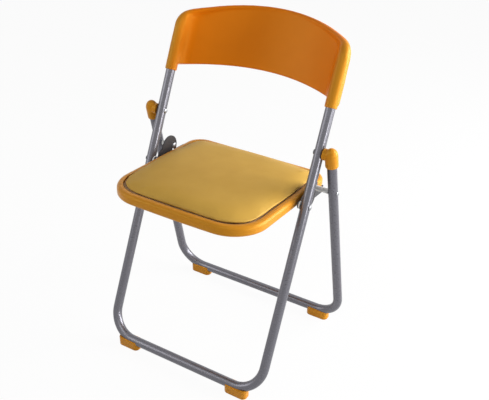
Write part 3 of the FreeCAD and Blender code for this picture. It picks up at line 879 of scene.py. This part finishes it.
# %% [markdown]
# ## The pad's cover
# Smoothing takes out the small dents that the stuffing leaves. The crown, where the cover faces up, is
# smoothed for many more rounds than the sides, which would lose their fullness.

# %% Smooth the pad and put its cover on
PAD_ROUNDS = 10
CROWN_ROUNDS = 60
# How far a face turns upwards where the crown starts and where it is full
TOP_TURN = 0.8
TOP_FULL = 0.95
crown = pad.vertex_groups.new(name="crown")
for vertex in pad.data.vertices:
    share = unit((vertex.normal.dot(seat_up) - TOP_TURN) / (TOP_FULL - TOP_TURN))
    crown.add([vertex.index], share, "REPLACE")
relax(pad, PAD_ROUNDS)
relax(pad, CROWN_ROUNDS, "crown")
finer = pad.modifiers.new("finer", "SUBSURF")
finer.levels = 1
finer.render_levels = 1
settle(pad, vinyl)
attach(pad, "seat")
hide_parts("seat_pad")
print("pad cover has", len(pad.data.polygons), "faces")

# %% [markdown]
# ## The stage
# The photograph shows the chair on plain white. A wide pale floor takes a soft shadow, and the world
# is white to the camera and in reflections but gives only gentle light, so colours stay as mixed.

# %% Floor and world
FLOOR_SIZE = 12
FLOOR_GREY = (0.75, 0.75, 0.75)
FLOOR_GLOW = 0.95
WHITE = (1, 1, 1, 1)
AMBIENT = 0.13


def seen_directly(tree):
    """One for rays from the camera, in a reflection or through glass, and nought for the rest."""
    rays = tree.nodes.new("ShaderNodeLightPath")
    shown = rays.outputs["Is Camera Ray"]
    for other in ("Is Glossy Ray", "Is Transmission Ray"):
        larger = tree.nodes.new("ShaderNodeMath")
        larger.operation = "MAXIMUM"
        tree.links.new(shown, larger.inputs[0])
        tree.links.new(rays.outputs[other], larger.inputs[1])
        shown = larger.outputs["Value"]
    return shown


def pale_floor():
    """Matt grey that glows white to the camera."""
    material, tree, shader, _ = start_finish("floor_paint", FLOOR_GREY, roughness=0.9)
    shader.inputs["Specular IOR Level"].default_value = 0.1
    glow = tree.nodes.new("ShaderNodeEmission")
    glow.inputs["Color"].default_value = WHITE
    mix = tree.nodes.new("ShaderNodeMixShader")
    share = spread(tree, seen_directly(tree), high=FLOOR_GLOW, start=0.0, stop=1.0)
    tree.links.new(share, mix.inputs["Fac"])
    tree.links.new(shader.outputs["BSDF"], mix.inputs[1])
    tree.links.new(glow.outputs["Emission"], mix.inputs[2])
    tree.links.new(mix.outputs["Shader"], tree.nodes["Material Output"].inputs["Surface"])
    return material


bpy.ops.mesh.primitive_plane_add(size=FLOOR_SIZE, location=(0, 0, 0))
floor = bpy.context.object
floor.name = "floor"
floor.data.materials.append(pale_floor())

world = bpy.data.worlds.new("studio")
scene.world = world
world.use_nodes = True
sky = world.node_tree
background = sky.nodes["Background"]
background.inputs["Color"].default_value = WHITE
level = spread(sky, seen_directly(sky), low=AMBIENT, start=0.0, stop=1.0)
sky.links.new(level, background.inputs["Strength"])
print("ambient level", AMBIENT)

# %% [markdown]
# ## Studio lamps
# In the photograph the right-hand edges gleam and the faces towards the camera are a deeper tone, so
# the main soft box stands to the right and a little behind. A weak lamp above the front and a weak
# fill on the left open the shade, and a small low lamp on the right draws the streak along the tubes.

# %% Lamps
MIDDLE = Vector((0, 0, 0.45))


def soft_box(name, place, size, power):
    """A square lamp that faces the middle of the chair."""
    lamp = bpy.data.lights.new(name, "AREA")
    lamp.size = size
    lamp.energy = power
    holder = new_object(name, lamp)
    holder.location = place
    holder.rotation_euler = (MIDDLE - Vector(place)).to_track_quat("-Z", "Y").to_euler()


soft_box("key", place=(1.65, 1.1, 1.0), size=1.6, power=88)
soft_box("front", place=(0.1, -1.5, 2.3), size=1.4, power=12)
soft_box("fill", place=(-1.6, -1.4, 1.4), size=1.4, power=16)
soft_box("edge", place=(1.85, -0.35, 0.55), size=0.38, power=9)
print("lamps set", len(bpy.data.lights))

# %% [markdown]
# ## Camera
# The camera was fitted to the straight tubes and the floor bars in the photograph. It stands to the
# right of the chair's front and looks down on it.

# %% Camera
CAMERA_PLACE = (0.8556, -1.3005, 1.2830)
CAMERA_PITCH = math.radians(59.22)
CAMERA_TURN = math.radians(32.03)
SENSOR_WIDTH = 36
FOCAL_LENGTH = 57.06
lens = bpy.data.cameras.new("camera")
lens.sensor_width = SENSOR_WIDTH
lens.lens = FOCAL_LENGTH
camera = new_object("camera", lens)
camera.location = CAMERA_PLACE
camera.rotation_euler = Euler((CAMERA_PITCH, 0, CAMERA_TURN))
scene.camera = camera
scene.view_settings.view_transform = "Standard"
print("camera set")
